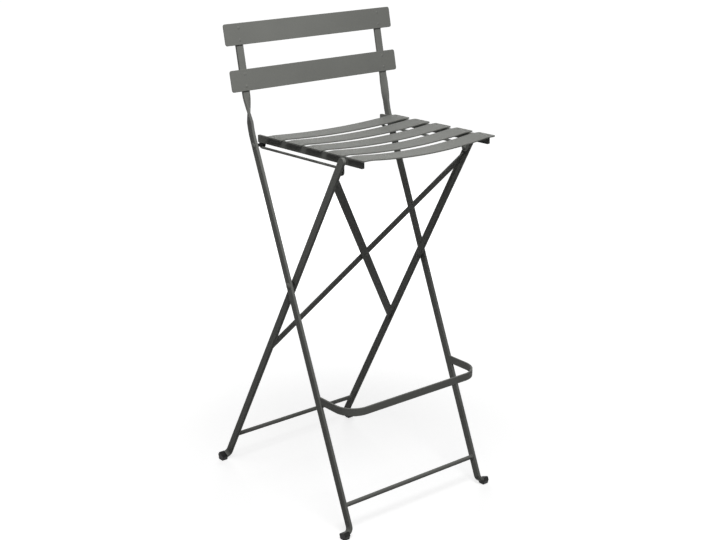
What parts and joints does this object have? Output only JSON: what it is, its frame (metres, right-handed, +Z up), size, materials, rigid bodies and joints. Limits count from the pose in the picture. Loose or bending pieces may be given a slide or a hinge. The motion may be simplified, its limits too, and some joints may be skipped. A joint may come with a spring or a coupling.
{
  "type": "folding bar stool",
  "caption": "Folding steel bar stool with a slatted dished seat, a low slatted back, crossed legs that pivot, crossed braces and a footrest.",
  "frame": {"origin": "on the floor, under the middle of the stool's box", "axes": "+X is the stool's right-hand side seen from the front, its front faces -Y, +Z is up"},
  "size_m": [0.46, 0.5257, 1.0653],
  "materials": {
    "slat_coat": "satin powder coat, warm grey green",
    "frame_coat": "satin powder coat, warm grey green",
    "glide_plastic": "matte black"
  },
  "bodies": {
    "long_frame": {"left_long_leg": "frame_coat", "right_long_leg": "frame_coat", "front_stretcher": "frame_coat", "footrest_bar": "frame_coat", "upper_back_slat": "slat_coat", "lower_back_slat": "slat_coat", "back_slat_rivets": "slat_coat", "left_front_glide": "glide_plastic", "right_front_glide": "glide_plastic", "left_pivot_rivet": "frame_coat", "right_pivot_rivet": "frame_coat", "left_pivot_washer": "glide_plastic", "right_pivot_washer": "glide_plastic", "left_guide_pin": "frame_coat", "right_guide_pin": "frame_coat"},
    "short_frame": {"left_short_leg": "frame_coat", "right_short_leg": "frame_coat", "rear_stretcher": "frame_coat", "under_brace": "frame_coat", "over_brace": "frame_coat", "brace_cross_rivet": "frame_coat", "left_rear_glide": "glide_plastic", "right_rear_glide": "glide_plastic", "left_hinge_rivet": "frame_coat", "right_hinge_rivet": "frame_coat", "left_hinge_washer": "glide_plastic", "right_hinge_washer": "glide_plastic"},
    "seat": {"left_seat_rail": "frame_coat", "right_seat_rail": "frame_coat", "left_guide_rod": "frame_coat", "right_guide_rod": "frame_coat", "seat_slat_1": "slat_coat", "seat_slat_2": "slat_coat", "seat_slat_3": "slat_coat", "seat_slat_4": "slat_coat", "seat_slat_5": "slat_coat", "seat_slat_rivets": "slat_coat"},
    "left_slider": {"left_guide_slider": "glide_plastic"},
    "right_slider": {"right_guide_slider": "glide_plastic"}
  },
  "joints": [
    {"name": "frame_fold", "type": "hinge", "parent": "long_frame", "child": "short_frame", "pos_m": [0, -0.02551, 0.51914], "axis": [-1, 0, 0], "range_deg": [0, 48.6]},
    {"name": "seat_fold", "type": "hinge", "parent": "short_frame", "child": "seat", "pos_m": [0, -0.17983, 0.8017], "axis": [-1, 0, 0], "range_deg": [0, 59.87]},
    {"name": "left_slider_travel", "type": "slide", "parent": "seat", "child": "left_slider", "axis": [0, -0.9997, 0.0262], "range_m": [0, 0.26343]},
    {"name": "right_slider_travel", "type": "slide", "parent": "seat", "child": "right_slider", "axis": [0, -0.9997, 0.0262], "range_m": [0, 0.26343]}
  ],
  "couplings": [
    {"joint": "seat_fold", "follows": "frame_fold", "ratio": 1.2317},
    {"joint": "left_slider_travel", "follows": "frame_fold", "m_per_rad": 0.31044},
    {"joint": "right_slider_travel", "follows": "frame_fold", "m_per_rad": 0.31044}
  ]
}
